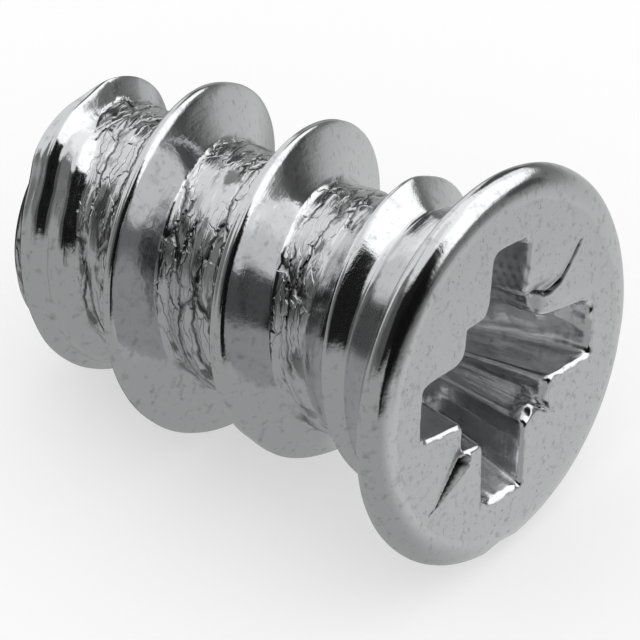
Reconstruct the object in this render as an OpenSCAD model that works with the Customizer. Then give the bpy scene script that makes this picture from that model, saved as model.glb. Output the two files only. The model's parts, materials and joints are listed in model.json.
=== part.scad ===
// Short countersunk screw with a coarse rolled thread and a cross recess.
// It is one solid. The screw is drawn about its own axis: the face of the head is at z = 0,
// the blunt end is at z = length, and the direction +x is the one that ends up on top.
// Then it is laid on its side, as it rests on a table: the rim of the head and the crest
// of the thread touch the plane z = 0, and the blunt end points towards -X.

/* [Whole screw] */
// Length from the face of the head to the blunt end
length = 9.7; // [8.5:0.1:16]
// Diameter of the core under the thread
core_d = 4.4; // [4:0.1:4.8]
// Diameter of the flat at the blunt end
end_d = 4.0; // [3.2:0.1:4]
// Length of the chamfer at the blunt end
end_chamfer = 0.2; // [0.1:0.05:0.4]

/* [Head] */
// Diameter over the rim
head_d = 7.6; // [7.2:0.1:8.6]
// Rounding of the rim on the side of the face
rim_r = 0.4; // [0.3:0.05:0.45]
// Rounding of the rim on the side of the cone
rim_back_r = 0.2; // [0.1:0.05:0.3]
// Depth of the neck, where the cone under the head ends
neck_depth = 1.88; // [1.7:0.05:2.4]
// Diameter of the neck
neck_d = 4.9; // [4.8:0.1:5.4]

/* [Thread] */
// Diameter over the crests
thread_d = 6.4; // [5.8:0.1:6.8]
// How far the crest dips in its two low places, on one of which the screw rests
crest_dip = 0.1; // [0:0.02:0.2]
// Distance from one crest to the next
pitch = 2.45; // [2.2:0.05:2.8]
// Distance from the face of the head to the first crest, along the top line
first_crest = 2.28; // [2.2:0.02:2.6]
// Width of the narrow flat on the crest
crest_land = 0.16; // [0.1:0.02:0.3]
// Width of the crest in the shallow turn next to the head
runout_land = 0.06; // [0.04:0.02:0.2]
// Lean of each flank against the cross section
flank_angle = 30; // [25:1:35]
// Crest diameter in the shallow turn next to the head
runout_d = 5.68; // [5.2:0.02:5.76]
// Lean of the shallow turn's flank on the side away from the head
runout_flank_angle = 55; // [30:1:58]
// Crest diameter of the shallow turn at the blunt end, where it meets the table
runin_d = 5.58; // [5.3:0.02:5.8]
// Crest diameter where that turn runs into the edge of the blunt end
edge_d = 5.0; // [4.8:0.02:5.2]
// Width of the flat on the crest of that turn
runin_land = 0.42; // [0.2:0.02:0.5]
// Lean of that turn's flank on the side of the head
runin_flank_angle = 62; // [40:1:65]

/* [Cross recess] */
// Width across two opposite wings at the face
recess_span = 5.0; // [4.4:0.1:5.2]
// Width of one wing
wing_w = 1.1; // [0.9:0.05:1.2]
// Side of the square middle at the face
middle_w = 2.5; // [2.2:0.1:2.6]
// Depth of the wings
recess_depth = 2.3; // [1.8:0.1:2.5]
// Lean of the ends of the wings
wing_lean = 20; // [15:1:25]
// Lean of the sides of the square middle
middle_lean = 10; // [6:1:14]
// Turn of the first wing from the top line
wing_turn = 12.5; // [0:0.5:45]

/* [Marks between the wings] */
// Distance from the axis to the outer tip of a mark
mark_reach = 2.8; // [2.6:0.1:3]
// Width of the wide mark where it meets the recess
wide_mark_w = 0.5; // [0.3:0.05:0.7]
// Width of the thin mark there
thin_mark_w = 0.16; // [0.1:0.02:0.3]
// Width of the two faint marks there
faint_mark_w = 0.08; // [0.04:0.02:0.16]
// Depth of a mark as a share of its width
mark_steep = 0.8; // [0.4:0.1:1]

/* [Dent in the rim] */
// How deep the dent goes
dent_depth = 0.1; // [0.05:0.01:0.15]
// Radius of the thing that made it
dent_r = 2.2; // [1:0.1:3]
// Turn of the dent from the top line
dent_turn = 187.5; // [0:0.5:360]
// Angle between the dent's middle and the axis
dent_tilt = 46; // [30:1:60]

/* [Hidden] */
steps_per_turn = 48;
arc_steps = 8;
cut_over = 0.5;                   // how far a cutter stands out of the metal
buried = 0.15;                    // how deep the foot of the thread lies in the core

head_r = head_d / 2;
face_r = head_r - rim_r;          // edge of the flat face, where the rim's rounding starts
back_r = head_r - rim_back_r;     // centre of the rounding on the cone's side
core_r = core_d / 2;
neck_r = neck_d / 2;
end_r = end_d / 2;

// The thread is followed in turns, counted from the first crest on the top line, and it
// ends where its crest has run out over the edge of the blunt end.
thread_top = length - end_chamfer;
turn_end = (thread_top + runin_land / 2 - first_crest) / pitch;
turn_first = -0.8;
turn_last = turn_end + 0.42;

// Next to the head the lead is shorter, because the head stops the die.
runout_turn = 0.33;
runout_lead = 0.82;

// Crest radius: it rises out of the neck, runs shallow for most of a turn, reaches full
// height, and drops again where the end of the blank did not fill the die.
crest_knots = [
    [turn_first, neck_r - 2 * buried],
    [-0.45, runout_d / 2 - 0.12],
    [-0.1, runout_d / 2],
    [0.58, runout_d / 2],
    [0.77, thread_d / 2],
    [1.25, thread_d / 2],
    [1.43, thread_d / 2 - crest_dip],
    [1.52, thread_d / 2 - 0.9 * crest_dip],
    [1.62, thread_d / 2],
    [2.02, thread_d / 2],
    [2.1, thread_d / 2 - crest_dip],
    [2.18, thread_d / 2],
    [turn_end - 0.8, thread_d / 2],
    [turn_end - 0.53, runin_d / 2],
    [turn_end - 0.47, runin_d / 2 - 0.08],
    [turn_end - 0.31, runin_d / 2 - 0.22],
    [turn_end - 0.2, edge_d / 2 - 0.05],
    [turn_end - 0.11, edge_d / 2 + 0.1],
    [turn_end - 0.02, edge_d / 2 - 0.05],
    [turn_end + 0.02, edge_d / 2 + 0.04],
    [turn_end + 0.2, edge_d / 2],
    [turn_last, core_r - buried]
];
// Half width of the flat on the crest
land_knots = [
    [0.3, runout_land / 2],
    [0.7, crest_land / 2],
    [turn_end - 0.32, crest_land / 2],
    [turn_end - 0.22, runin_land / 2]
];
// Slope of the flank on the side of the head
near_knots = [
    [turn_end - 0.8, tan(flank_angle)],
    [turn_end - 0.4, tan(runin_flank_angle)]
];
// Slope of the flank on the other side
away_knots = [
    [-0.2, tan(runout_flank_angle)],
    [0.2, tan(flank_angle)]
];

function crest_r(t) = lookup(t, crest_knots);
function crest_z(t) = first_crest + pitch * (t - (1 - runout_lead) * min(t - runout_turn, 0));
function crest_near(t) = min(crest_z(t) - lookup(t, land_knots), thread_top - 0.02);
function crest_away(t) = min(crest_z(t) + lookup(t, land_knots), thread_top);
function turn_angle(t) = 360 * t;

// One section of the thread: foot, crest, crest, foot, from the head's side to the far side
function section(t) =
    let (
        foot = core_r - buried,
        rise = crest_r(t) - foot
    ) [
        [foot, crest_near(t) - rise * lookup(t, near_knots)],
        [crest_r(t), crest_near(t)],
        [crest_r(t), crest_away(t)],
        [foot, min(crest_away(t) + rise * lookup(t, away_knots), thread_top)]
    ];

// Angle by which the screw has to lean for the crest at turn t to meet the plane that the
// rim stands on: reach is the crest's distance from the axis, measured downwards.
function lean_at(t) =
    let (
        reach = -crest_r(t) * cos(turn_angle(t)),
        along = crest_away(t) - rim_r,
        gap = back_r - reach
    ) asin(rim_back_r / norm([along, gap])) + atan2(gap, along);

rest_turns = [for (t = [0 : 1 / steps_per_turn : turn_last]) if (cos(turn_angle(t)) < -0.5) t];
lean = min([for (t = rest_turns) lean_at(t)]);

// Height of the axis at the face, and the two ends of the laid screw along X
lift = back_r * cos(lean) + rim_r * sin(lean) + rim_back_r;
head_x = face_r * sin(lean) + rim_r * (1 - cos(lean));
tip_x = -end_r * sin(lean) - length * cos(lean);

// Outline of the blank: face, rounded rim, cone, neck, core and blunt end
function arc(centre, radius, from, to) = [
    for (i = [0 : arc_steps])
        let (a = from + (to - from) * i / arc_steps)
            centre + radius * [cos(a), sin(a)]
];

module blank() {
    rotate_extrude($fn = 96)
        polygon(concat(
            [[0, 0]],
            arc([face_r, rim_r], rim_r, -90, 0),
            arc([back_r, rim_r], rim_back_r, 10, 75),
            [
                [neck_r, neck_depth],
                [core_r, neck_depth + 2 * (neck_r - core_r)],
                [core_r, length - end_chamfer],
                [end_r, length],
                [0, length]
            ]
        ));
}

// The thread as one closed skin: four points a section, and a cap at each end
module thread() {
    count = ceil((turn_last - turn_first) * steps_per_turn);
    turns = [for (i = [0 : count]) turn_first + (turn_last - turn_first) * i / count];
    points = [
        for (t = turns)
            for (p = section(t))
                [p[0] * cos(turn_angle(t)), p[0] * sin(turn_angle(t)), p[1]]
    ];
    sides = [
        for (i = [0 : count - 1])
            for (j = [0 : 3])
                let (
                    a = 4 * i + j,
                    b = 4 * i + (j + 1) % 4
                )
                    each [[a, b, b + 4], [a, b + 4, a + 4]]
    ];
    n = 4 * count;
    caps = [[2, 1, 0], [3, 2, 0], [n, n + 1, n + 2], [n, n + 2, n + 3]];
    polyhedron(points = points, faces = concat(sides, caps));
}

// A bar whose ends lean inwards with depth
module leaning_bar(half_span, width, depth, lean_angle) {
    outer = half_span + cut_over * tan(lean_angle);
    inner = half_span - depth * tan(lean_angle);
    rotate([90, 0, 0])
        linear_extrude(height = width, center = true)
            polygon([[-outer, -cut_over], [outer, -cut_over], [inner, depth], [-inner, depth]]);
}

// Square middle of the recess, narrower with depth on all four sides
module recess_middle() {
    intersection() {
        leaning_bar(middle_w / 2, 2 * middle_w, recess_depth, middle_lean);
        rotate([0, 0, 90])
            leaning_bar(middle_w / 2, 2 * middle_w, recess_depth, middle_lean);
    }
}

// Pointed bottom that the punch leaves
module recess_bottom() {
    bottom_r = middle_w / 2 - recess_depth * tan(middle_lean);
    translate([0, 0, recess_depth - 0.05])
        cylinder(h = bottom_r / 2, r1 = bottom_r * 0.9, r2 = 0, $fn = 48);
}

module recess() {
    rotate([0, 0, wing_turn]) {
        leaning_bar(recess_span / 2, wing_w, recess_depth, wing_lean);
        rotate([0, 0, 90])
            leaning_bar(recess_span / 2, wing_w, recess_depth, wing_lean);
        recess_middle();
        recess_bottom();
    }
}

// A V-shaped mark that runs out of a corner of the recess's middle and fades towards the rim
module mark(turn, width) {
    run = mark_reach - middle_w / 2;
    depth = width * mark_steep;
    rise = atan(depth / run);
    side = width / 2 * cut_over / depth;
    rotate([0, 0, turn])
        translate([mark_reach, 0, 0])
            rotate([0, rise - 90, 0])
                rotate([0, 0, 180])
                    linear_extrude(height = run / cos(rise))
                        polygon([[0, 0], [cut_over, side], [cut_over, -side]]);
}

module marks() {
    mark(wing_turn + 45, thin_mark_w);
    mark(wing_turn - 135, wide_mark_w);
    mark(wing_turn - 45, faint_mark_w);
    mark(wing_turn + 135, faint_mark_w);
}

// The dent lies on the rim's rounding, where that faces half outwards
module dent() {
    out = rim_r - dent_depth + dent_r;
    rotate([0, 0, dent_turn])
        translate([face_r + out * sin(dent_tilt), 0, rim_r - out * cos(dent_tilt)])
            sphere(r = dent_r, $fn = 64);
}

module screw() {
    color("gainsboro")
        translate([-(head_x + tip_x) / 2, 0, lift])
            rotate([0, -90 - lean, 0])
                difference() {
                    union() {
                        blank();
                        thread();
                    }
                    recess();
                    marks();
                    dent();
                }
}

screw();
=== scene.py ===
# %% [markdown]
# # A short countersunk screw
# This lesson dresses one part: a short, thick screw for board, with a coarse rolled thread, a
# blunt end and a cross recess of type Z. The real one is upset and rolled from one piece of
# wire, then zinc plated, so it is one closed skin here too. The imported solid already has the
# right size and place. It says where the screw lies, and the skin made below follows it.
#
# The screw is worked out about its own axis, in millimetres: z runs from the face of the head
# to the blunt end, x points up when the screw lies on its side, and an angle round the axis
# is counted from x towards y. One small step at the end turns all of it into place.

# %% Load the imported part
import json

import bpy
import numpy as np
from mathutils import Matrix, Vector


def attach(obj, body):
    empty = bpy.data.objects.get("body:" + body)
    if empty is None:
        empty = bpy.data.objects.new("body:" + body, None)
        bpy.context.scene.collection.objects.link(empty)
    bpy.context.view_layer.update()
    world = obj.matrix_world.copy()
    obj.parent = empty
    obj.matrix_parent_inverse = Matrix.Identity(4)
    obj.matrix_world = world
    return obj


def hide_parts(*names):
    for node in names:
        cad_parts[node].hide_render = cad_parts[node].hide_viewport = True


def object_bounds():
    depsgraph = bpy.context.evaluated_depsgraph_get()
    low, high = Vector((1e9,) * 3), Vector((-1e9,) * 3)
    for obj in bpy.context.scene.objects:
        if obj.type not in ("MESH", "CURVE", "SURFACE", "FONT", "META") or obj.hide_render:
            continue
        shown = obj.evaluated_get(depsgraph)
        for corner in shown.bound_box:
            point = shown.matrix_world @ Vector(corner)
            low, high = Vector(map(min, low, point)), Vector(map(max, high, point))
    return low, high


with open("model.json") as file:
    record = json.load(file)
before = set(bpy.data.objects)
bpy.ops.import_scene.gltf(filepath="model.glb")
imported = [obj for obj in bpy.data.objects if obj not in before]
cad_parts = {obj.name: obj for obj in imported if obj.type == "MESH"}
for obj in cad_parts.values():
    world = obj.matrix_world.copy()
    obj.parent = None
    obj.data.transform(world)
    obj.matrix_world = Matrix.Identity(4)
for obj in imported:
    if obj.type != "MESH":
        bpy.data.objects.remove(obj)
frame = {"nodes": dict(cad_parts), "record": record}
CAD_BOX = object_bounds()
MM = 0.001
mounts = {mount["name"]: mount for mount in frame["record"]["mounts"]}
print("nodes:", sorted(frame["nodes"]), "mounts:", sorted(mounts))

# %% [markdown]
# The record gives a point on the face of the head, the middle of the blunt end, and the way
# that the end faces. These three fix the length and the whole axis. The screw leans a little,
# because the rim of its head and a crest of its thread stand on the table.

# %% Find the axis of the lying screw
end_at, head_at = (np.array(mounts[name]["pos_m"]) for name in ("end_face", "head_face"))
to_end = np.array(mounts["end_face"]["axis"])
to_side = np.array([0.0, 1.0, 0.0])
to_top = np.cross(to_side, to_end)
TURN = np.stack([to_top, to_side, to_end])
LENGTH = round(float((end_at - head_at) @ to_end) / MM, 2)
FACE_AT = end_at - to_end * LENGTH * MM


def laid(points):
    """Turns points from the screw's own frame, in mm, into the part's frame, in metres."""
    return points @ TURN * MM + FACE_AT


print("length:", LENGTH, "mm, lean:", round(float(np.degrees(np.arcsin(-to_end[2]))), 2), "degrees")

# %% [markdown]
# ## Sizes
# The head's radius comes from the solid's box, and the pitch and the core are the ones that
# the solid has. What the skin adds is what rolling, punching and plating leave behind: folds
# on the crests, wrinkled roots, burrs round the recess, and small knocks.

# %% Name the sizes, in millimetres
HEAD_R = round(float(CAD_BOX[1][1]) / MM, 1)
RIM_R = 0.4  # rounding of the rim, along the axis
FACE_R = HEAD_R - RIM_R  # where it starts on the solid
FLAT_R = 3.26  # where it starts on the skin, whose edge is worn
NECK_Z = 1.945  # where the cone ends at a small ridge
NECK_R = 2.45
CORE_R = 2.2
PITCH = 2.45
FIRST_CREST = 2.279  # place of the first crest on the top line
THREAD_FROM = 1.6  # the rows of the thread start here, on the cone
THREAD_TOP = LENGTH - 0.2  # and end where the chamfer of the blunt end starts
SEAM_TURN = 147.5 / 360  # the grid's seam lies in one corner of the recess
COLUMNS = 360
print("head:", 2 * HEAD_R, "mm, core:", 2 * CORE_R, "mm, pitch:", PITCH, "mm")

# %% [markdown]
# ## Numbers that wander
# Metal that was squeezed is never quite even. A lattice of random numbers, read with a smooth
# step between its points, gives an even, repeatable unevenness. The lattice is a table, so a
# whole surface is looked up in one call.

# %% Make the noise
LATTICE = (64, 64, 16)
table = np.random.default_rng(7).random(LATTICE)


def wander(x, y, z):
    """Value noise from -1 to 1: the eight lattice numbers round a point, mixed by 3f^2 - 2f^3.
    The lattice repeats itself in all three directions."""
    places = np.broadcast_arrays(x, y, z)
    cells = [np.floor(place).astype(int) for place in places]
    shares = [place - cell for place, cell in zip(places, cells)]
    shares = [share * share * (3 - 2 * share) for share in shares]
    total = 0
    for corner in np.ndindex(2, 2, 2):
        value = table[tuple((cell + k) % size for cell, k, size in zip(cells, corner, LATTICE))]
        for share, k in zip(shares, corner):
            value = value * (share if k else 1 - share)
        total = total + value
    return 2 * total - 1


print("noise at three points:", wander(np.array([0.5, 1.5, 2.5]), 0.2, 0.7).round(2))

# %% [markdown]
# Three more helpers shape nearly everything: a smooth step, a bell, and a smooth curve through
# a few points. All of them are smooth because a mirror would show every kink.

# %% Make the steps and curves
def step(x, low, high):
    """A smooth step: 0 up to low, 1 from high on, and 3f^2 - 2f^3 between them. Where low is the
    larger one it falls instead."""
    f = np.clip((x - low) / (high - low), 0, 1)
    return f * f * (3 - 2 * f)


def hump(x, middle, width):
    """A bell: exp of minus the square of the distance from the middle, in widths."""
    return np.exp(-(((x - middle) / width) ** 2))


def turned(angle, middle):
    """The angle from the middle in degrees, between -180 and 180."""
    return (angle - middle + 180) % 360 - 180


def through(t, knots):
    """A smooth curve through a few (place, value) points: a cubic between two of them, with the
    slope that the points before and after give."""
    places, values = np.array(knots).T
    slopes = np.gradient(values, places)
    t = np.clip(t, places[0], places[-1])
    k = np.clip(np.searchsorted(places, t, side="right") - 1, 0, len(places) - 2)
    h = places[k + 1] - places[k]
    f = (t - places[k]) / h
    rise = values[k + 1] - values[k]
    bend = f * (1 - f) * ((1 - f) * (slopes[k] * h - rise) - f * (slopes[k + 1] * h - rise))
    return values[k] + rise * f + bend


print("half-way up a step:", step(0.5, 0, 1))

# %% [markdown]
# ## The thread
# A rolled thread is one crest that climbs round the core. A turn number t follows it: t = 1
# is the crest on the top line after one full turn. Next to the head the crest is low, because
# the die stops there, and at the blunt end it runs out over the edge. It could be swept as a
# profile along a helix and joined to a blank, but a joint would show as a hard line. Here the
# skin's radius is a function of the turn and of the place along the axis, so that crest, flank
# and root are one surface.

# %% Say how the crest runs
# Each list holds (turn, value) points. First the crest's distance from the axis.
CREST_R = [
    (-0.72, 2.2), (-0.6, 2.42), (-0.45, 2.68), (-0.3, 2.78), (-0.1, 2.83), (0.0, 2.9),
    (0.05, 2.91), (0.08, 2.85), (0.12, 2.82), (0.3, 2.81), (0.5, 2.76), (0.56, 2.77),
    (0.6, 2.84), (0.64, 2.91), (0.67, 2.93), (0.7, 3.02), (0.76, 3.13), (0.84, 3.16),
    (1.0, 3.18), (1.1, 3.16), (1.25, 3.15), (1.43, 3.07), (1.52, 3.06), (1.56, 3.11),
    (1.6, 3.15), (1.64, 3.19), (1.8, 3.19), (1.9, 3.16), (2.0, 3.17), (2.04, 3.15),
    (2.07, 3.12), (2.1, 3.09), (2.13, 3.11), (2.18, 3.15), (2.24, 3.17), (2.34, 3.035),
    (2.5, 2.8), (2.56, 2.73), (2.66, 2.65), (2.72, 2.565), (2.78, 2.5), (2.84, 2.46),
    (2.885, 2.46), (2.91, 2.58), (2.93, 2.62), (2.97, 2.6), (3.01, 2.51), (3.03, 2.52),
    (3.06, 2.56), (3.1, 2.58), (3.16, 2.56), (3.2, 2.48), (3.3, 2.35), (3.45, 2.1),
]
CREST_ENDS = 3.46  # turn after which there is no crest
RUNOUT_TURN = 0.336  # before this turn the crest climbs more slowly,
RUNOUT_FROM = 2.43  # from this place along the axis
RUNOUT_LEAD = 2.0  # and by this much a turn


def crest_z(t):
    """Place of the crest along the axis: two straight climbs, the slower one next to the head."""
    return np.where(t < RUNOUT_TURN, RUNOUT_FROM + RUNOUT_LEAD * t, FIRST_CREST + PITCH * t)


print("highest crest:", max(radius for _, radius in CREST_R), "mm from the axis")

# %% [markdown]
# The crest has a narrow land, and its two flanks lean. On the last half turn the end of the
# blank did not fill the die: the land is wide and falls off, and on the head's side the flank
# stops at a shoulder before it goes down to the core.

# %% Shape one section of the crest
# Half the width of the land on both sides of the crest's middle: alike but for the last turn.
LAND_HALF = [(0.3, 0.03), (0.55, 0.05), (0.64, 0.11), (0.85, 0.1), (1.0, 0.08), (1.5, 0.07), (1.8, 0.08)]
NEAR_HALF = LAND_HALF + [(2.3, 0.08), (2.68, 0.09), (2.8, 0.21), (3.4, 0.21)]
FAR_HALF = LAND_HALF + [(3.4, 0.08)]
HEAD_SIDE_LEAN = [(-0.3, 44), (-0.2, 49), (-0.03, 49), (0.12, 40), (0.5, 36), (0.75, 30),
                  (2.24, 30), (2.55, 42), (2.9, 42), (3.02, 34), (3.2, 32)]
FAR_SIDE_LEAN = [(-0.2, 55), (0.2, 32), (0.5, 30), (2.6, 30), (2.75, 38)]
EDGE_ROUND = 0.025  # rounding between land and flank
LAND_TAPER = [(2.55, 0), (2.8, 0.15), (3.0, 0.15), (3.1, 0)]
TAPER_PIVOT = 0.15  # the tapering land keeps its height this far past its edge
TAPER_REACH = 0.6  # and tapers no further than this
SHOULDER = [(2.45, 0), (2.7, 1), (2.9, 1), (3.02, 0)]
SHOULDER_LENGTH = [(2.7, 0.56), (2.8, 0.56), (2.93, 0.44)]
SHOULDER_DROP = 0.17  # how far under the land the shoulder starts,
SHOULDER_SLOPE = 0.07  # how much it rises again,
SHOULDER_FALL = 1.1  # and how steeply it ends


def flank_slopes(t):
    """How far each flank runs along the axis for a mm of height: the tangent of its lean."""
    return [np.tan(np.radians(through(t, lean))) for lean in (HEAD_SIDE_LEAN, FAR_SIDE_LEAN)]


def crest_edges(t):
    """The two edges of the crest's land. The first one stays on the blank, because the thread is
    cut off where the blank ends."""
    near = np.minimum(crest_z(t) - through(t, NEAR_HALF), THREAD_TOP - 0.02)
    return near, np.maximum(crest_z(t) + through(t, FAR_HALF), near)


def crest_height(t, z):
    """Radius of one crest's section at z: its top less the distance past the land over the
    flank's slope, with a shallow fold pressed along the land. At the shoulder it is the larger
    of the flank and of a line that rises slowly and then falls to the core."""
    near, far = crest_edges(t)
    taper = through(t, LAND_TAPER) * (TAPER_PIVOT - np.clip(z - near, 0, TAPER_REACH))
    top = through(t, CREST_R) + taper
    slope = np.where(z < near, *flank_slopes(t))
    past = np.maximum(near - z, z - far)
    past = 0.5 * (past + np.sqrt(past**2 + EDGE_ROUND**2)) - 0.25 * EDGE_ROUND
    across = (z - near) / (far - near)
    fold = 0.03 * hump(across, 0.62, 0.16) * step(wander(t * 9, 0.5, 3.5), -0.5, 0.4)
    seam = 0.02 * hump(near - z, -0.06, 0.022) * step(t, 2.7, 2.78) * step(-t, -3.0, -2.9)
    flank = top - past / slope
    low = top - SHOULDER_DROP + SHOULDER_SLOPE * (past - SHOULDER_DROP * slope)
    low = low - SHOULDER_FALL * np.maximum(past - through(t, SHOULDER_LENGTH), 0)
    flank = flank + np.maximum(low - flank, 0) * through(t, SHOULDER) * (z < near)
    return np.where(t > CREST_ENDS, 0, flank - fold - seam)


print("land after one turn:", np.ptp(crest_edges(1.0)).round(2), "mm wide")

# %% [markdown]
# The blank is what was there before the thread: the cone under the head, which the die left
# hollow, then the neck and the core. It is one profile.

# %% Draw the profile of the blank
CONE = [(0.57, 3.6), (0.72, 3.4), (1.0, 3.14), (1.3, 2.88), (1.6, 2.65), (NECK_Z, NECK_R)]
NECK = [(NECK_Z, NECK_R), (2.2, 2.27), (2.5, CORE_R), (3.0, CORE_R)]


def blank_radius(z):
    """Radius of the blank: the cone, then the neck and the core, and a bell 0.02 mm high where
    the cone ends."""
    return np.where(z < NECK_Z, through(z, CONE), through(z, NECK)) + 0.02 * hump(z, NECK_Z, 0.05)


print("the cone ends", round(float(2 * blank_radius(NECK_Z)), 2), "mm across")

# %% [markdown]
# ## A grid that follows the crest
# On a plain grid a slanting crest would come out as stairs. So the rows of this grid follow
# the thread: each turn is a block of rows, with rows on both edges of the crest and at both
# feet of its flanks. After one way round, a block lies where the next one began. There the
# faces are joined one block further on, like the end of a garden hose to its next coil. The
# first and last blocks taper to nothing, where the thread starts and ends.

# %% Lay out the rows of the thread
ROWS = {"root": 8, "near flank": 10, "crest": 6, "far flank": 9, "next root": 8}
BLOCK = sum(ROWS.values())
BLOCKS = 4
BESIDE_LAND = 0.015  # the rows by the land lie this far outside it
SHOULDER_FOOT = 0.3  # how much further out the flank's foot is at a shoulder
LEAST_SHARE = 0.35  # no stretch gets thinner than this share of its even width
turns = SEAM_TURN + np.arange(COLUMNS + 1) / COLUMNS
angles = 360 * turns


def root_line(t):
    """Where one turn's rows end and the next one's begin: half a pitch after the crest, drawn
    in to the first row at the head and to the last row at the blunt end."""
    middle = crest_z(t) + PITCH / 2
    middle = THREAD_FROM + (middle - THREAD_FROM) * step(t, SEAM_TURN - 1, 0.0)
    last = SEAM_TURN + 2
    return middle + (THREAD_TOP - crest_z(last) - PITCH / 2) * step(t, last - 0.3, last)


def block_rows(block):
    """Places along the axis of one block's rows for all columns, from the root before the crest
    to the root after it. They are spread evenly between six lines, which keep their order."""
    t = turns + block - 1
    low = np.full(COLUMNS + 1, THREAD_FROM) if block == 0 else root_line(t - 1)
    high = np.full(COLUMNS + 1, THREAD_TOP) if block == BLOCKS - 1 else root_line(t)
    near, far = crest_edges(t)
    tall = through(t, CREST_R) - CORE_R
    near_foot, far_foot = [tall * slope for slope in flank_slopes(t)]
    near_foot = near_foot + SHOULDER_FOOT * through(t, SHOULDER)
    lines = [low, near - near_foot, near - BESIDE_LAND, far + BESIDE_LAND, far + far_foot, high]
    counts = list(ROWS.values())
    least = [(high - low) * LEAST_SHARE * count / BLOCK for count in counts]
    for k in range(1, 5):
        lines[k] = np.maximum(lines[k], lines[k - 1] + least[k - 1])
    for k in range(4, 0, -1):
        lines[k] = np.minimum(lines[k], lines[k + 1] - least[k])
    rows = []
    for k, count in enumerate(counts):
        share = (np.arange(count) / count)[:, None]
        rows.append(lines[k] + (lines[k + 1] - lines[k]) * share)
    return np.concatenate(rows)


thread_z = np.concatenate([block_rows(block) for block in range(BLOCKS)])
thread_t = np.repeat(np.arange(BLOCKS), BLOCK)[:, None] + turns - 1
print("thread rows:", thread_z.shape, "from", thread_z.min().round(2), "to", thread_z.max().round(2))

# %% [markdown]
# The radius of the skin is the largest of the blank and of the crests before, at and after a
# row. The roots were never touched by the die. They are wrinkled and cracked along the turn,
# and flow marks run round them. The flanks were pressed by it and are smooth. Before the last
# crest, a shallow ditch runs along its shoulder.

# %% Work out the skin of the thread
FILLET = 0.05  # width of the fillet between flank and root
DITCH_DEPTH = 0.06
DITCH_BEFORE = 0.93  # how far before the crest the ditch lies
DITCH_HALF = 0.11


def along_thread(angle, z, length, width):
    """Noise whose spots are longer along the thread than across it. It is read from the lattice
    on a circle that grows with z, and across the thread by the height over the helix, which the
    lattice repeats after exactly one pitch. So it has no seam, and no two turns look alike."""
    round_it = np.radians(angle)
    ring = (3 + z) * 0.3 / length
    over_helix = (z - PITCH * angle / 360) * LATTICE[2] / PITCH * np.round(0.16 / width)
    return wander(ring * np.cos(round_it), ring * np.sin(round_it), over_helix)


def thread_radius(t, z):
    """Radius at every row and column, and how much of a root it is: the larger of blank and
    crests, with a fillet between, plus three sizes of noise, of which two only in the roots."""
    crests = np.maximum.reduce([crest_height(t + k, z) for k in (-1, 0, 1)])
    ditch = DITCH_DEPTH * hump(crest_z(t) - z, DITCH_BEFORE, DITCH_HALF)
    blank = blank_radius(z) - ditch * step(t, 2.6, 2.75) * step(-t, -2.98, -2.9)
    radius = 0.5 * (blank + crests + np.sqrt((blank - crests) ** 2 + FILLET**2))
    rooted = step(blank - crests, -0.12, 0.1) * step(z, 2.5, 3.2)
    angle = 360 * t
    deep = 0.034 * along_thread(angle, z, 1.2, 0.16)
    wrinkle = 0.012 * along_thread(angle, z + 7, 0.7, 0.08)
    uneven = 0.004 * along_thread(angle, z + 21, 1.5, 0.16)
    return radius + uneven + rooted * (deep + wrinkle), rooted


thread_r, thread_root = thread_radius(thread_t, thread_z)
print("thread radius from", thread_r.min().round(2), "to", thread_r.max().round(2))

# %% [markdown]
# ## The recess
# A punch forms the cross. Its four wings have ends that lean inwards with depth, and between
# them stands a square middle whose corners reach the surface half-way between two wings. The
# outline is walked with the same number of points at every depth, so the walls are straight
# from the bottom to the mouth. A seam of the grid lies in one corner of the square.

# %% Share the columns out over the outline
# A quarter of the outline has five edges: side of the square, wing, wing's end, wing, side.
EDGE_COUNTS = [16, 20, 18, 20, 16]
QUARTER = sum(EDGE_COUNTS)
CORNER = EDGE_COUNTS[0]
EASE = 1.6  # power by which the columns crowd towards the square's corners

edge_share = np.concatenate([np.arange(count) / count for count in EDGE_COUNTS])
edge_share[:CORNER] **= EASE
edge_share[-CORNER:] = 1 - (1 - edge_share[-CORNER:]) ** EASE
quarter_way = np.arange(QUARTER) * 1.0
quarter_way[:CORNER] = CORNER * edge_share[:CORNER]
quarter_way[-CORNER:] = QUARTER - CORNER + CORNER * edge_share[-CORNER:]
head_angles = np.append(np.concatenate([quarter_way + QUARTER * k for k in range(4)]), COLUMNS)
head_angles = 360 * SEAM_TURN + head_angles
print("columns over a quarter of the recess:", QUARTER)

# %% [markdown]
# The outline comes out of straight lines between the corners of the cross. Running averages
# then round its corners. Two of the square's corners were worn by the bit, so those are
# averaged far more often than the rest.

# %% Work out the outline at a depth
SPAN = 5.0  # across two opposite wings
WING = 1.1  # width of a wing
MIDDLE = 2.5  # side of the square
END_LEAN, SQUARE_LEAN, WING_LEAN = (np.tan(np.radians(lean)) for lean in (20, 10, 2))
WING_ROOT = 0.06  # how much wider a wing is where it leaves the square
WORN_PASSES = 26
worn_corners = [hump(turned(head_angles, way), 0, half) for way, half in ((-32.5, 42), (57.5, 38))]
worn_corners = np.maximum(*worn_corners)[:-1, None]


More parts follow.
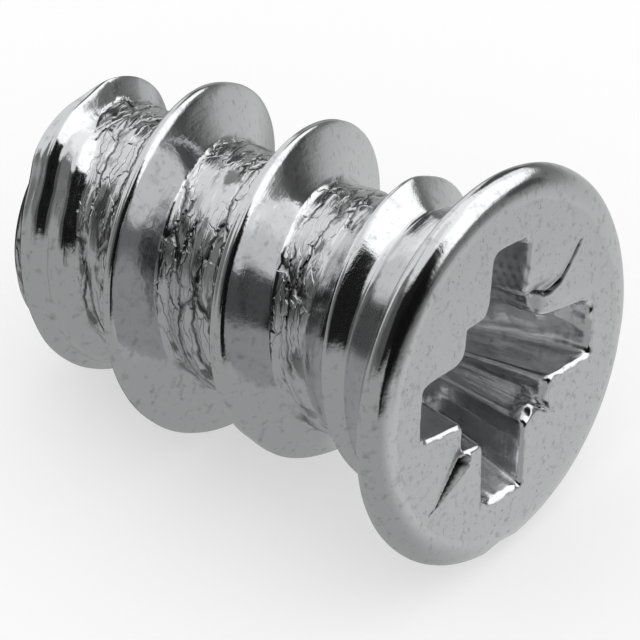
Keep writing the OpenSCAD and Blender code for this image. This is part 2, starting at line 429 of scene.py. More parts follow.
def recess_outline(depth, grow):
    """Points of the cross at each depth, for all columns. A quarter of it runs from a corner of
    the square along its side, out along the wing, over the wing's end and back. Each size is
    the one at the face less depth times the tangent of its lean. grow moves it all outwards."""
    end = SPAN / 2 - depth * END_LEAN + grow
    square = MIDDLE / 2 - depth * SQUARE_LEAN + grow
    wing = WING / 2 - depth * WING_LEAN + grow
    root = wing + WING_ROOT
    corners = [(square, -square), (square, -root), (end, -wing)]
    corners = corners + [(end, wing), (square, root), (square, square)]
    corners = np.stack([np.stack(corner, -1) for corner in corners], 1)
    edge = np.repeat(np.arange(5), EDGE_COUNTS)
    share = edge_share[None, :, None]
    quarter = corners[:, edge] * (1 - share) + corners[:, edge + 1] * share
    parts = []
    for k in range(4):
        way = np.radians(360 * SEAM_TURN + 45 + 90 * k)
        c, s = np.cos(way), np.sin(way)
        parts.append(quarter @ np.array([[c, s], [-s, c]]))
    outline = np.concatenate(parts, 1)
    for worn in [1, 1] + WORN_PASSES * [worn_corners]:
        even = (np.roll(outline, 1, 1) + 2 * outline + np.roll(outline, -1, 1)) / 4
        outline = outline + (even - outline) * worn
    return np.concatenate([outline, outline[:, :1]], 1)


def placed(xy, z):
    """Rows of points from their xy and z, which are stretched to the same size."""
    return np.concatenate([xy, np.broadcast_to(z, xy.shape[:2])[..., None]], -1)


print("points on the outline:", recess_outline(np.zeros(1), np.zeros(1)).shape[1])

# %% [markdown]
# The walls climb from the bottom to the mouth, whose lip is slightly rounded. They carry fine
# streaks from the punch. A slipping bit has pushed one corner down and inwards, and drawn its
# wall into small folds. At another corner hangs a torn lump of metal.

# %% Draw the walls of the recess
DEPTH = 2.3
WALL_ROWS = 22  # rows below the lip
LIP_DEPTH = [0.07, 0.035, 0.012]
LIP_GROW = [0.003, 0.014, 0.034]
SMEAR_DEPTH = 0.34  # how deep the corner was pushed down
PUSH = 0.17  # and what share of its radius it was pushed inwards
FOLD_EVERY = 0.19  # from one fold of its wall to the next

wall_depth = np.concatenate([np.linspace(DEPTH, 0.12, WALL_ROWS), LIP_DEPTH])
wall_xy = recess_outline(wall_depth, np.concatenate([np.zeros(WALL_ROWS), LIP_GROW]))
smeared = hump(turned(head_angles, 60), 0, 19)
smear = SMEAR_DEPTH * smeared
wall_depth = smear + wall_depth[:, None] * (1 - smear / DEPTH)
streaks = 0.012 * wander(np.arange(COLUMNS + 1) % COLUMNS * 0.55, 3.5, 0.5)
streaks = streaks + 0.01 * wander(wall_xy[..., 0] * 9, wall_xy[..., 1] * 9, wall_depth * 2)
pushed = PUSH * smeared * step(-wall_depth, -1.5, -0.2)
drawn = step(np.abs(turned(head_angles, 52)), 34, 20) * step(-wall_depth, -1.5, -0.6)
fold_line = 0.54 + 0.9 * step(-turned(head_angles, 62), 0, 40)
folds = drawn * hump(np.abs(wall_depth - fold_line) % FOLD_EVERY, 0.09, 0.03)
walls = placed(wall_xy * (1 + streaks - pushed - 0.008 * folds)[..., None], wall_depth)
print("rows of the walls:", len(walls), "the smear reaches", smear.max().round(2), "mm down")

# %% Hang the torn lump on the wall
LUMP_TURN = np.radians(152)
LUMP_AT = [1.58 * np.cos(LUMP_TURN), 1.58 * np.sin(LUMP_TURN), 0.2]
LUMP_HALVES = [0.27, 0.27, 0.22]
LUMP_HIGH = 0.24
lump_away = np.linalg.norm((walls - LUMP_AT) / LUMP_HALVES, axis=-1)
torn = 0.05 * wander(walls[..., 0] * 7, walls[..., 1] * 7, wall_depth * 9)
lump = LUMP_HIGH * hump(lump_away, 0, 0.9) + torn * hump(lump_away, 0.6, 1.2)
inwards = walls[..., :2] / np.linalg.norm(walls[..., :2], axis=-1, keepdims=True)
walls[..., :2] -= inwards * lump[..., None]
print("the lump stands out by", lump.max().round(2), "mm")

# %% [markdown]
# The point of the punch leaves a shallow cone at the bottom. Its rows shrink from the foot of
# the walls to the axis, and the pole in the middle is closed when the rows are joined.

# %% Close the bottom of the recess
FLOOR_ROWS = 5
POINT_DEPTH = 0.38
POINT_R = 0.76
floor_xy = (np.arange(FLOOR_ROWS) / FLOOR_ROWS)[:, None, None] * walls[:1, :, :2]
point = np.clip(1 - np.linalg.norm(floor_xy, axis=-1) / POINT_R, 0, 1)
floor_rows = placed(floor_xy, DEPTH + POINT_DEPTH * point)
print("deepest point of the recess:", floor_rows[..., 2].max().round(2), "mm")

# %% [markdown]
# ## The face of the head
# Between the wings the punch has left four marks, which are how a cross recess of type Z is
# known. One is wide, one is thin and bent, and two are faint. The face runs from the mouth of
# the recess to the circle where the rim's rounding starts. The bit that drove the screw has
# smeared some metal over one corner, and has raised burrs along the mouth.

# %% Lay out the marks and burrs
# Each mark: radius and angle where it starts and where it ends, its half widths there, and how
# steep it is. A bent mark is two that share a point.
# The marks in this first list are also darkened in the colour, as painted shade in their grooves. The
# faint ones are not.
SHADE_PAINTED_MARKS = [
    (1.88, -125.1, 2.86, -123.8, 0.22, 0.01, 1.3),
    (2.8, -123.8, 3.0, -122.4, 0.012, 0.012, 1.0),
    (1.46, 54, 1.66, 63, 0.02, 0.05, 1.6),
    (1.66, 63, 2.78, 60.3, 0.05, 0.025, 2.2),
]
FAINT_MARKS = [
    (1.7, -32.5, 2.4, -32.5, 0.03, 0.01, 0.5),
    (1.74, 148.5, 2.88, 148.5, 0.035, 0.02, 0.5),
]
# Each burr: angle of its middle, how far it spreads both ways in degrees, and how high it is.
BURRS = [
    (122, 14, 0.05), (147.5, 6, 0.05), (237.5, 7, 0.1), (262, 10, 0.05), (192.5, 13, 0.05), (173, 8, 0.03),
]


def mark_depth(x, y, start_r, start_way, end_r, end_way, start_half, end_half, steep):
    """A V-shaped mark along a straight line: 1 less the distance from the line in half widths.
    The half width changes evenly from start to end. The metal beside it is raised a little.
    The second result says how far inside the mark a point is."""
    radii, ways = np.array([start_r, end_r]), np.radians([start_way, end_way])
    (x0, x1), (y0, y1) = radii * np.cos(ways), radii * np.sin(ways)
    share = ((x - x0) * (x1 - x0) + (y - y0) * (y1 - y0)) / np.hypot(x1 - x0, y1 - y0) ** 2
    share = np.clip(share, 0, 1)
    away = np.hypot(x - x0 - share * (x1 - x0), y - y0 - share * (y1 - y0))
    half = start_half + (end_half - start_half) * share
    inside = np.clip(1 - away / half, 0, 1)
    raised = 0.25 * half * hump(away, half + 0.02, 0.03)
    return steep * half * inside - raised, step(inside, 0.02, 0.3)


print("marks:", len(SHADE_PAINTED_MARKS) + len(FAINT_MARKS), "burrs:", len(BURRS))

# %% Shape the face
FACE_ROWS = 26
PIT_AT = (0.37, -3.28)
PIT_SIZE = 0.06


def face_depth(x, y, beyond):
    """How far the face lies under its plane: unevenness, marks, the smeared corner and a small pit,
    less the burrs; and how far inside a mark with painted shade it lies. beyond is the distance from the
    recess's mouth."""
    way = np.degrees(np.arctan2(y, x))
    depths, marked = zip(*[mark_depth(x, y, *mark) for mark in SHADE_PAINTED_MARKS + FAINT_MARKS])
    depth = 0.010 * wander(x * 1.3, y * 1.3, 4.5) + 0.005 * wander(x * 4, y * 4, 8.5) + sum(depths)
    depth = depth + smear * (1 - step(beyond, -0.5, 0.62)) / (1 - step(0, -0.5, 0.62))
    depth = depth + PIT_SIZE * hump(np.hypot(x - PIT_AT[0], y - PIT_AT[1]), 0, PIT_SIZE)
    lumps = 0.6 + 0.7 * wander(x * 6, y * 6, 2.5)
    for middle, spread, high in BURRS:
        depth = depth - high * lumps * hump(turned(way, middle), 0, spread) * hump(beyond, 0.02, 0.09)
    return depth, np.max(marked[:len(SHADE_PAINTED_MARKS)], axis=0)


share = (np.arange(FACE_ROWS) / FACE_ROWS)[:, None, None] ** 1.25
circle = FLAT_R * np.stack([np.cos(np.radians(head_angles)), np.sin(np.radians(head_angles))], -1)
mouth = recess_outline(np.zeros(1), np.full(1, 0.06)) * (1 - PUSH * smeared[None, :, None])
face_xy = mouth * (1 - share) + circle * share
from_mouth = np.linalg.norm(face_xy - mouth, axis=-1)
face_z, painted_mark_shade = face_depth(face_xy[..., 0], face_xy[..., 1], from_mouth)
face = placed(face_xy, face_z)
print("face rows:", len(face), "highest burr:", -face[..., 2].min().round(3), "mm")

# %% [markdown]
# ## The rim and the cone
# The rim is a bead: an oval rounding towards the face and a tighter one towards the cone. A
# turned profile would be too even for it. So each point is moved a little along the bead's own
# normal, as an upset edge waves, and one dent is pressed in by a ball: points inside the ball
# are moved out to its surface.

# %% Shape the rim
BEAD_ROWS = 12
BACK_ROWS = 10
BACK_R = 0.17  # rounding towards the cone, twice as large on one side
DENT = {"turn": np.radians(187.5), "lean": np.radians(46), "depth": 0.1, "ball": 2.2}


def ring_points(radius, z, way=angles):
    """Rows of points from radius and z at every column, each at its angle."""
    way = np.radians(way)
    return np.stack(np.broadcast_arrays(radius * np.cos(way), radius * np.sin(way), z), -1)


back = BACK_R + BACK_R * hump(turned(head_angles, -135), 0, 45)
front_arc = np.radians(np.linspace(-90, 0, BEAD_ROWS + 1)[:-1])[:, None] + 0 * back
back_arc = np.radians(np.linspace(0, 74, BACK_ROWS))[:, None] + 0 * back
front_r = FLAT_R + (HEAD_R - FLAT_R) * np.cos(front_arc)
bead_r = np.concatenate([front_r, HEAD_R - back + back * np.cos(back_arc)])
bead_z = np.concatenate([RIM_R + RIM_R * np.sin(front_arc), RIM_R + back * np.sin(back_arc)])
normal = np.concatenate([front_arc, back_arc])
rim_x, rim_y, _ = np.moveaxis(ring_points(HEAD_R, 0.0, head_angles), -1, 0)
wavy = 0.008 * wander(rim_x * 1.1, rim_y * 1.1, bead_z * 4) - 0.012
wavy = wavy - 0.012 * step(wander(rim_x * 1.3, rim_y * 1.3, 9.5), 0.2, 0.9)
wavy = wavy * step(np.degrees(normal), -90, -50)
bead = ring_points(bead_r + wavy * np.cos(normal), bead_z + wavy * np.sin(normal), head_angles)

ball_out = RIM_R - DENT["depth"] + DENT["ball"]
ball_r = FACE_R + ball_out * np.sin(DENT["lean"])
ball = ring_points(ball_r, RIM_R - ball_out * np.cos(DENT["lean"]), np.degrees(DENT["turn"]))
away = bead - ball
reach = np.linalg.norm(away, axis=-1, keepdims=True)
bead = ball + away * np.maximum(reach, DENT["ball"]) / reach
print("rows on the bead:", len(bead), "points in the dent:", int((reach < DENT["ball"]).sum()))

# %% [markdown]
# The cone takes over from the bead, and the small difference between their radii fades fast.
# Along it the columns slide from the head's spacing to the even spacing of the thread. The die
# has left very fine rings round it.

# %% Shape the cone
CONE_ROWS = 12
share = np.linspace(0, 1, CONE_ROWS + 2)[1:-1, None]
cone_z = bead_z[-1] + (THREAD_FROM - bead_z[-1]) * share
cone_r = blank_radius(cone_z) + (bead_r[-1] - blank_radius(bead_z[-1])) * (1 - share) ** 5
cone_r = cone_r + 0.004 * wander(cone_z * 14, 0.5, 0.5)
cone = ring_points(cone_r, cone_z, head_angles + (angles - head_angles) * share)
print("rows on the cone:", len(cone))

# %% [markdown]
# ## The blunt end
# The thread is cut off at the end of the blank, so its last crest ends in a flat strip. From
# there the end steps in to the core, takes a small chamfer and closes in the middle.

# %% Shape the end
STRIP_SHARES = [0.0, 0.1, 0.5, 0.94]
STRIP_RISE = 0.008
# The rows from the chamfer to the middle: radius, and how far the row lies before the very end
END_ROWS = [
    (2.15, 0.15), (2.03, 0.03), (1.99, 0.005), (1.9, 0), (1.6, 0), (1.1, 0.01), (0.5, 0.01), (0, 0.01),
]
top_r, _ = thread_radius(turns + BLOCKS - 2, np.full(COLUMNS + 1, THREAD_TOP))
top_r = np.maximum(top_r, CORE_R)
share = np.array(STRIP_SHARES)[:, None]
strip_r = top_r * (1 - share) + (CORE_R - 0.02) * share
strip = ring_points(strip_r, THREAD_TOP + STRIP_RISE * np.minimum(share * 10, 1))
end_r, before_end = np.array(END_ROWS).T[..., None]
end = np.concatenate([strip, ring_points(end_r + 0 * top_r, LENGTH - before_end)])
print("end rows:", len(end), "strip reaches out to", top_r.max().round(2), "mm")

# %% [markdown]
# ## One skin
# All rows are stacked and joined by quads. The two poles, the seam and the tapered blocks
# use the same points twice or more. Where a quad has two corners in one point it becomes a
# triangle, and where it has no area it is left out.

# %% Number the points and find the faces
grid = np.concatenate([floor_rows, walls, face, bead, cone, ring_points(thread_r, thread_z), end])
last = len(grid) - len(end)
first = last - len(thread_z)
index = np.arange(grid.shape[0] * grid.shape[1]).reshape(grid.shape[:2])
index[:first, -1] = index[:first, 0]
index[last:, -1] = index[last:, 0]
index[first:first + BLOCK, 0] = index[first + BLOCK, 0]
index[first:last - BLOCK, -1] = index[first + BLOCK:last, 0]
index[last - BLOCK:last, -1] = index[last, 0]
index[0, :] = index[0, 0]
index[-1, :] = index[-1, 0]


def corners_of(rows):
    """The four corners of each cell of a grid, in order round the cell, in one long list."""
    corners = np.stack([rows[:-1, :-1], rows[:-1, 1:], rows[1:, 1:], rows[1:, :-1]], 2)
    return corners.reshape(-1, 4, *rows.shape[2:])


quads = corners_of(index)
same = quads == np.roll(quads, -1, 1)
is_whole = ~same.any(1)
is_triangle = same.sum(1) == 1
shared = np.argmax(same[is_triangle], 1)
order = (shared[:, None] + np.array([1, 2, 3])) % 4
whole = quads[is_whole]
triangles = np.take_along_axis(quads[is_triangle], order, 1)
used, number = np.unique(np.concatenate([whole.ravel(), triangles.ravel()]), return_inverse=True)
whole, triangles = number[:whole.size].reshape(-1, 4), number[whole.size:].reshape(-1, 3)
print("grid:", grid.shape[:2], "points used:", len(used))

# %% [markdown]
# The faces have to point outwards. The sum of all corner products, over six, is the volume
# that the skin encloses, and it is negative if the faces point inwards. Then they are turned.

# %% Join the rows into one closed mesh
points = laid(grid.reshape(-1, 3)[used])
fan = points[np.concatenate([whole[:, [0, 1, 2]], whole[:, [0, 2, 3]], triangles])]
volume = np.einsum("ij,ij->i", fan[:, 0], np.cross(fan[:, 1], fan[:, 2])).sum() / 6
way_round = 1 if volume > 0 else -1
corners = np.concatenate([whole[:, ::way_round].ravel(), triangles[:, ::way_round].ravel()])
sizes = np.concatenate([np.full(len(whole), 4), np.full(len(triangles), 3)])

mesh = bpy.data.meshes.new("screw_skin")
mesh.vertices.add(len(points))
mesh.vertices.foreach_set("co", points.ravel())
mesh.loops.add(len(corners))
mesh.loops.foreach_set("vertex_index", corners)
mesh.polygons.add(len(sizes))
mesh.polygons.foreach_set("loop_start", np.concatenate([[0], np.cumsum(sizes)[:-1]]))
mesh.update(calc_edges=True)
mesh.validate()
mesh.shade_smooth()
skin = bpy.data.objects.new("screw_skin", mesh)
bpy.context.collection.objects.link(skin)
print("triangles:", 2 * len(whole) + len(triangles), "volume:", round(abs(volume) / MM**3, 1), "mm3")

# %% [markdown]
# The material has to know where it is: on the face, in the recess, in a root, in a mark or a fold
# of the recess wall, where shade is painted in, or on the gritty flank next to the head. Each is
# written on the points as a number from 0 to 1.

# %% Write the masks
SMOOTH_LIP = 2  # rows of the lip that are not as dull as the recess
walls_from = len(floor_rows)
face_from = walls_from + len(walls)
bead_from = face_from + len(face)
masks = {name: np.zeros(grid.shape[:2]) for name in ("recess", "face", "root", "mark", "grit")}
masks["recess"][:face_from - SMOOTH_LIP] = 1
masks["face"][face_from:bead_from] = 1
masks["root"][first:last] = thread_root
# Painted shade: this mask darkens the grooves of the wide and the bent mark on the face.
masks["mark"][face_from:bead_from] = painted_mark_shade
# Painted shade: the creases of the folds on the smeared wall are darkened here at six tenths strength.
masks["mark"][walls_from:face_from] = 0.6 * folds
near_crest = step(crest_z(thread_t) - thread_z, 0.0, 0.06) * step(thread_z, 2.05, 2.2)
masks["grit"][first:last] = near_crest * step(thread_t, -0.5, -0.35) * step(-thread_t, -0.4, -0.2)
for name, mask in masks.items():
    layer = mesh.attributes.new(name, "FLOAT", "POINT")
    layer.data.foreach_set("value", mask.ravel()[used])
print("share of the points in a root:", masks["root"].ravel()[used].mean().round(2))

# %% [markdown]
# The map is in millimetres: one way round the screw, and the other along it, less the climb of
# the thread, so that a line of the map runs along the thread. A pattern that is stretched on
# this map lies along the turns, as cracks and flow marks do.

# %% Write the map
MAP_R = 2.3  # the radius at which a millimetre of the map is a real one
column = np.arange(COLUMNS + 1)
round_mm = 2 * np.pi * MAP_R / COLUMNS * column + np.zeros((len(grid), 1))
along_mm = grid[..., 2] - PITCH / COLUMNS * column * step(grid[..., 2], 1.9, 2.6)
corner_uv = corners_of(np.stack([round_mm, along_mm], -1))
triangle_uv = np.take_along_axis(corner_uv[is_triangle], order[..., None], 1)
uv = [part[:, ::way_round].reshape(-1, 2) for part in (corner_uv[is_whole], triangle_uv)]
layer = mesh.uv_layers.new(name="millimetres")
layer.data.foreach_set("uv", np.concatenate(uv).ravel())
print("map:", round_mm.max().round(1), "mm round,", np.ptp(along_mm).round(1), "mm along")

# %% [markdown]
# ## Zinc-plated steel
# One metal covers the screw. Bright zinc is a neutral, slightly blue white metal, so its look
# comes from what it mirrors, and how sharply. Pressed flanks are nearly polished.
# The face is satin with pits and scratches, and shade is painted into the cracks in the skin of the roots.
# Two helpers do all the work with nodes: one fills in a node's inputs, and one adds a node.

# %% Make the helpers for colours and nodes
def linear(code):
    """A colour given as sRGB hex, in linear values with alpha."""
    levels = np.array([int(code[k:k + 2], 16) for k in (0, 2, 4)]) / 255
    levels = np.where(levels <= 0.04045, levels / 12.92, ((levels + 0.055) / 1.055) ** 2.4)
    return (*levels, 1.0)


def plug(tree, node, inputs):
    """Fills in a node's inputs, given in order or by name. Each is a plain value, an output, or
    a whole node, whose first live output is meant."""
    for name, value in inputs.items() if isinstance(inputs, dict) else enumerate(inputs):
        if isinstance(value, bpy.types.Node):
            value = next(output for output in value.outputs if output.enabled)
        if isinstance(value, bpy.types.NodeSocket):
            tree.links.new(value, node.inputs[name])
        else:
            node.inputs[name].default_value = value
    return node


def add(tree, kind, inputs=(), **settings):
    """One new node with its own settings and its inputs."""
    made = tree.nodes.new("ShaderNode" + kind)
    for name, value in settings.items():
        setattr(made, name, value)
    return plug(tree, made, inputs)


print("zinc in linear values:", np.round(linear("E3E4E5"), 3))

# %% [markdown]
# Patterns read either the object's own coordinates, times 1000 so that they are millimetres,
# or the map. Each one below is a noise that is stretched, cut off between two levels, and
# made as strong as it has to be. Real plating grain is finer than a hundredth of a millimetre.
# It is drawn coarser here, so that it shows.

# %% Start the metal and its patterns
# Zinc-plated steel, rolled and barrel plated: a bright, neutral grey mirror with soft edges to
# its reflections, a faint grain and small dull stains.
metal = bpy.data.materials.new("zinc-plated steel")
metal.use_nodes = True
tree = metal.node_tree
place = add(tree, "TexCoord").outputs["Object"]
solid = add(tree, "VectorMath", [place, (1000, 1000, 1000)], operation="MULTIPLY")
mapped = add(tree, "UVMap", uv_map="millimetres")
mask = {name: add(tree, "Attribute", attribute_name=name).outputs["Fac"] for name in masks}

# Each pattern: what it is read from, its spots per millimetre along three axes, its detail, the
# levels of the noise where it starts and where it is full, and its strength there.
PATTERNS = {
    "grain": (solid, (13, 13, 13), 4, 0, 1, 0.0018),
    "ripple": (solid, (2.6, 2.6, 2.6), 1, 0, 1, 0.005),
    "rolled": (mapped, (0.7, 12, 1), 3, 0, 1, 0.003),
    "flow": (mapped, (0.6, 9, 1), 3, 0, 1, 0.016),
    "grit": (solid, (34, 34, 34), 2, 0, 1, 0.0018),
    "cracked": (mapped, (0.54, 1.44, 0.9), 2, 0.38, 0.5, 1),
    "dull patches": (mapped, (1.36, 3.06, 1.7), 5, 0.56, 0.62, 0.7),
    "pits": (solid, (7, 7, 7), 3, 0.66, 0.76, 0.7),
    "scratches": (solid, (1.5, 26, 9), 1, 0.7, 0.76, 0.7),
    "cross scratches": (solid, (6, 6, 40), 1, 0.71, 0.77, 0.7),
    "haze": (solid, (3, 3, 3), 4, 0, 1, 0.06),
    "stain": (solid, (6, 6, 6), 6, 0.56, 0.76, 0.33),
    "specks": (solid, (10, 10, 10), 4, 0.68, 0.76, 0.33),
}
pattern = {}
for name, (source, spots, detail, start, full, strength) in PATTERNS.items():
    spread = add(tree, "VectorMath", [source, spots], operation="MULTIPLY")
    noise = add(tree, "TexNoise", {"Vector": spread, "Scale": 1.0, "Detail": detail})
    levels = {"Value": noise, "From Min": start, "From Max": full, "To Max": strength}
    pattern[name] = add(tree, "MapRange", levels)
print("patterns:", len(pattern))

# %% [markdown]
# The skin of the roots has cracked along the turns. The edges of long cells give such a net,
# once the map is bent a little so that no edge is straight. A coarse net and a fine, fainter
# one lie on each other, and only some stretches of the root have them.

# %% Crack the roots
def crack_lines(cells_per_mm, width, strength):
    """As much as strength along the edges of long cells that lie along the thread, and 0 away
    from them: the map plus a small noise, squeezed, then the distance to the nearest edge."""
    waver = add(tree, "TexNoise", {"Vector": mapped, "Scale": 3.0, "Detail": 2.0}).outputs["Color"]
    bent = add(tree, "VectorMath", [waver, (0.5, 0.22, 0), mapped], operation="MULTIPLY_ADD")
    squeezed = add(tree, "VectorMath", [bent, (0.22, 1, 1)], operation="MULTIPLY")
    cells = {"Vector": squeezed, "Scale": cells_per_mm}
    edges = add(tree, "TexVoronoi", cells, feature="DISTANCE_TO_EDGE")
    levels = {"Value": edges, "From Min": width, "From Max": 0.0, "To Max": strength}
    return add(tree, "MapRange", levels)


nets = [crack_lines(2.2, 0.075, 1.0), crack_lines(5.5, 0.05, 0.4)]
cracks = add(tree, "Math", nets, operation="MAXIMUM")
cracks = add(tree, "Math", [cracks, pattern["cracked"]], operation="MULTIPLY")
cracks = add(tree, "Math", [cracks, mask["root"]], operation="MULTIPLY")
patches = add(tree, "Math", [pattern["dull patches"], mask["root"]], operation="MULTIPLY")
worn = add(tree, "Math", [pattern["scratches"], pattern["cross scratches"]], operation="MAXIMUM")
worn = add(tree, "Math", [worn, pattern["pits"]], operation="MAXIMUM")
worn = add(tree, "Math", [worn, mask["face"]], operation="MULTIPLY")
print("nodes so far:", len(tree.nodes))

# %% [markdown]
# All small heights are added up in millimetres and go into one bump: the grain, a ripple and
# the rolling marks everywhere, flow marks and cracks in the roots, pits and scratches on the
# face, and grit on the first flank.

# %% Add up the relief
CRACK_DEPTH = 0.03
WEAR_DEPTH = 0.006
height = add(tree, "Math", [pattern["grain"], pattern["ripple"]], operation="ADD")
height = add(tree, "Math", [height, pattern["rolled"]], operation="ADD")
RELIEF = [
    (worn, -WEAR_DEPTH), (pattern["flow"], mask["root"]),
    (cracks, -CRACK_DEPTH), (pattern["grit"], mask["grit"]),
]
for amount, times in RELIEF:
    height = add(tree, "Math", [amount, times, height], operation="MULTIPLY_ADD")
bump = add(tree, "Bump", {"Height": height, "Distance": MM, "Strength": 1.0})
print("nodes with the relief:", len(tree.nodes))

# %% [markdown]
# The face and the recess are duller than the rolled flanks, and a faint haze lies over all of
# it. Stains, specks, dull patches and wear darken the zinc, and shade is painted into the cracks,
# the marks and the folds of the recess wall, each by its own strength, and the strongest one counts.

# %% Finish the metal
rough = add(tree, "Math", [mask["face"], 0.28, 0.07], operation="MULTIPLY_ADD")
rough = add(tree, "Math", [mask["recess"], 0.09, rough], operation="MULTIPLY_ADD")
rough = add(tree, "Math", [pattern["haze"], rough], operation="ADD")
# Painted shade: the cracks are darkened in the colour as well as pressed in by the bump.
painted_crack_shade = add(tree, "Math", [cracks, 0.9], operation="MULTIPLY")
# Wear, dull patches, stains and specks are the zinc's own darker tone. The cracks and the mark mask add
# painted shade.
stains_wear_and_painted_shade = add(tree, "Math", [worn, 0.6], operation="MULTIPLY")
for other in (painted_crack_shade, patches, mask["mark"], pattern["stain"], pattern["specks"]):
    stains_wear_and_painted_shade = add(tree, "Math", [stains_wear_and_painted_shade, other], operation="MAXIMUM")
colour = add(tree, "Mix", {"Factor": stains_wear_and_painted_shade, 6: linear("E3E4E5"), 7: linear("262626")}, data_type="RGBA")
plug(tree, tree.nodes["Principled BSDF"], {
    "Base Color": colour, "Roughness": rough, "Normal": bump, "Metallic": 1.0,
})
mesh.materials.append(metal)

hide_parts("screw")
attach(skin, "root")
print("nodes in the metal:", len(tree.nodes))

# %% [markdown]
# ## The studio
# A pale floor and a white world stand round the screw. A mirror shows its shape only by what
# is round it, so a studio hangs soft white and dark cards about a small metal part. Here they
# are one bell over the screw, whose glow is worked out from a few cards, each with soft edges.
# Only mirrored rays see it, so it throws no light on the floor and hides nothing.

# %% Lay out the cards
ROOM = 0.36  # glow of the bell where no card hangs
# Each card: glow, middle and half width of its azimuth, middle and half width of its height
# above the horizon, and how soft its edge is, all in degrees. Azimuth 0 is the head's side.
CARDS = [
    (0.80, 0, 200, 78, 16, 10),  # ceiling
    (0.18, -140, 30, 36, 28, 14),  # dark corner, in front of the blunt end
    (0.085, -80, 44, 42, 22, 14),  # dark wall in front
    (1.05, 92, 76, 43, 31, 8),  # wide white card behind
    (1.35, 52, 32, 38, 22, 12),  # the brightest card, behind the head
    (0.17, 50, 66, 3, 9, 5),  # dark skirting under them
    (0.07, 53, 9, 4, 6, 5),  # and a darker piece of it
    (0.08, 118, 12, 24, 20, 8),  # dark post behind the thread
    (0.80, 168, 34, 32, 28, 8),  # white card beyond the blunt end
    (0.012, -26, 42, 40.5, 19.5, 5),  # black card in front of the head
    (0.006, -9, 25, 15, 20, 4),  # black card low beyond the head
    (0.02, 11, 9, -3, 9, 5),  # and its foot
    (0.58, 48, 62, -38, 30, 24),  # lit paper behind the head
    (0.04, 170, 24, -22, 10, 8),  # dark strip on the paper beyond the blunt end
]


def glow_towards(azimuth, height):
    """Glow of the bell in each direction: each card in turn is laid over what was there before,
    by how far a direction lies inside both of its widths."""
    level = np.full(np.broadcast(azimuth, height).shape, ROOM)
    for glow, middle, half, up, half_up, soft in CARDS:
        beside = half - np.abs(turned(azimuth, middle))
        above = half_up - np.abs(height - up)
        cover = step(beside, -soft / 2, soft / 2) * step(above, -soft / 2, soft / 2)
        level = level + (glow - level) * cover
    return level


print("cards:", len(CARDS), "glow overhead:", glow_towards(0.0, 89.0).round(2))

# %% [markdown]
# Above the middle of the screw the bell is a large ball. Below it lies flat, just over the
# floor: a direction that looks down meets it where it would meet the paper.

# %% Hang the bell over the screw
BELL_R = 250.0
BELL_FOOT = 0.002
EYE_LEVEL = 3.8
azimuth = np.linspace(-180, 180, 241)[None, :]
height = np.linspace(-89, 89, 179)[:, None]
downward = np.tan(np.radians(np.maximum(-height, 0.5)))
flat_r = np.minimum(BELL_R, (EYE_LEVEL - BELL_FOOT) / downward)
bell_r = np.where(height < 0, flat_r, BELL_R * np.cos(np.radians(height)))
bell_z = np.where(height < 0, BELL_FOOT, EYE_LEVEL + BELL_R * np.sin(np.radians(height)))
bell = ring_points(bell_r, bell_z, azimuth) * MM
cells = np.arange(bell.shape[0] * bell.shape[1]).reshape(bell.shape[:2])
bell_mesh = bpy.data.meshes.new("card_bell")
bell_mesh.from_pydata(bell.reshape(-1, 3).tolist(), [], corners_of(cells).tolist())
layer = bell_mesh.attributes.new("glow", "FLOAT", "POINT")
layer.data.foreach_set("value", glow_towards(azimuth, height).ravel())

# White and black card: a mirrored ray that meets the bell takes the glow of that place.
cards = bpy.data.materials.new("white and dark cards")
cards.use_nodes = True
cards.cycles.emission_sampling = "NONE"
cards.node_tree.nodes.clear()
glow = add(cards.node_tree, "Attribute", attribute_name="glow").outputs["Fac"]
shine = add(cards.node_tree, "Emission", {"Strength": glow})
add(cards.node_tree, "OutputMaterial", {"Surface": shine})
bell_mesh.materials.append(cards)
card_bell = bpy.data.objects.new("card_bell", bell_mesh)
bpy.context.collection.objects.link(card_bell)
for kind in ("camera", "diffuse", "shadow", "transmission"):
    setattr(card_bell, f"visible_{kind}", False)
print("faces of the bell:", len(bell_mesh.polygons))

# %% [markdown]
# The paper on the floor is white, and the light of the white world falls on it from all sides,
# so the screw leaves a soft shadow. A little glow lifts the paper to the white of the world
# for the rays that see it.

# %% Lay the floor
def background_rays(tree):
    """1 for rays from the camera, and for mirrored and transmitted rays, else 0."""
    path = add(tree, "LightPath").outputs
    seen = add(tree, "Math", [path["Is Camera Ray"], path["Is Glossy Ray"]], operation="MAXIMUM")
    return add(tree, "Math", [seen, path["Is Transmission Ray"]], operation="MAXIMUM")


PAPER_GLOW = 0.45
FLOOR_HALF = 2.0
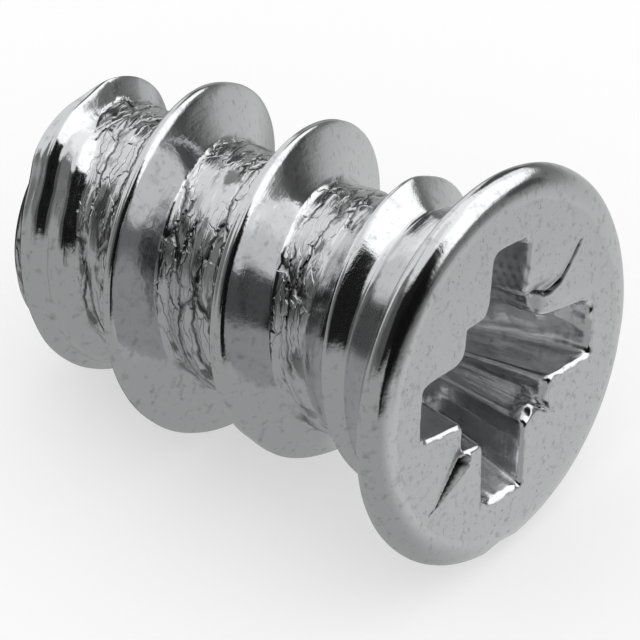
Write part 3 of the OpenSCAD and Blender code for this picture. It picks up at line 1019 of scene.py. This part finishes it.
# White drawing paper: fully matt, with no shine at all.
paper = bpy.data.materials.new("white paper")
paper.use_nodes = True
lift = add(paper.node_tree, "Math", [background_rays(paper.node_tree), PAPER_GLOW], operation="MULTIPLY")
plug(paper.node_tree, paper.node_tree.nodes["Principled BSDF"], {
    "Base Color": linear("C8C8C8"), "Roughness": 1.0, "Specular IOR Level": 0.0,
    "Emission Color": (1, 1, 1, 1), "Emission Strength": lift,
})
floor_mesh = bpy.data.meshes.new("floor")
floor_corners = [(FLOOR_HALF * x, FLOOR_HALF * y, 0) for x, y in ((-1, -1), (1, -1), (1, 1), (-1, 1))]
floor_mesh.from_pydata(floor_corners, [], [(0, 1, 2, 3)])
floor_mesh.materials.append(paper)
floor = bpy.data.objects.new("floor", floor_mesh)
bpy.context.collection.objects.link(floor)
print("the floor glows by", PAPER_GLOW, "for the rays that see it")

# %% [markdown]
# The world is plain white for the rays that see it, and a touch weaker as a light.

# %% Light the world
world = bpy.data.worlds.new("white room")
bpy.context.scene.world = world
world.use_nodes = True
sky = world.node_tree
strength = add(sky, "MapRange", {"Value": background_rays(sky), "To Min": 0.95, "To Max": 1.0})
plug(sky, sky.nodes["Background"], {"Strength": strength, "Color": (1, 1, 1, 1)})
print("nodes in the world:", len(sky.nodes))

# %% [markdown]
# ## The camera
# A very long lens looks down on the lying screw from its head's side, from 36 cm away. So the
# near end hardly looks larger than the far one.

# %% Place the camera and finish
CAMERA_AT = Vector((0.16621815, -0.22055569, 0.23812460))
FORWARD = Vector((-0.456983, 0.608267, -0.648982))
UP = Vector((-0.398796, 0.512067, 0.760756))
camera_data = bpy.data.cameras.new("camera")
camera_data.sensor_width = 36.0
camera_data.lens = 1130.24
camera_data.clip_start = 0.01
camera = bpy.data.objects.new("camera", camera_data)
facing = Matrix((FORWARD.cross(UP), UP, -FORWARD)).transposed().to_4x4()
camera.matrix_world = Matrix.Translation(CAMERA_AT) @ facing
bpy.context.collection.objects.link(camera)
bpy.context.scene.camera = camera
bpy.context.scene.view_settings.view_transform = "Standard"
print("camera:", round(CAMERA_AT.length * 100), "cm away")

print("solid:", [[round(float(v) * 1000, 2) for v in corner] for corner in CAD_BOX])
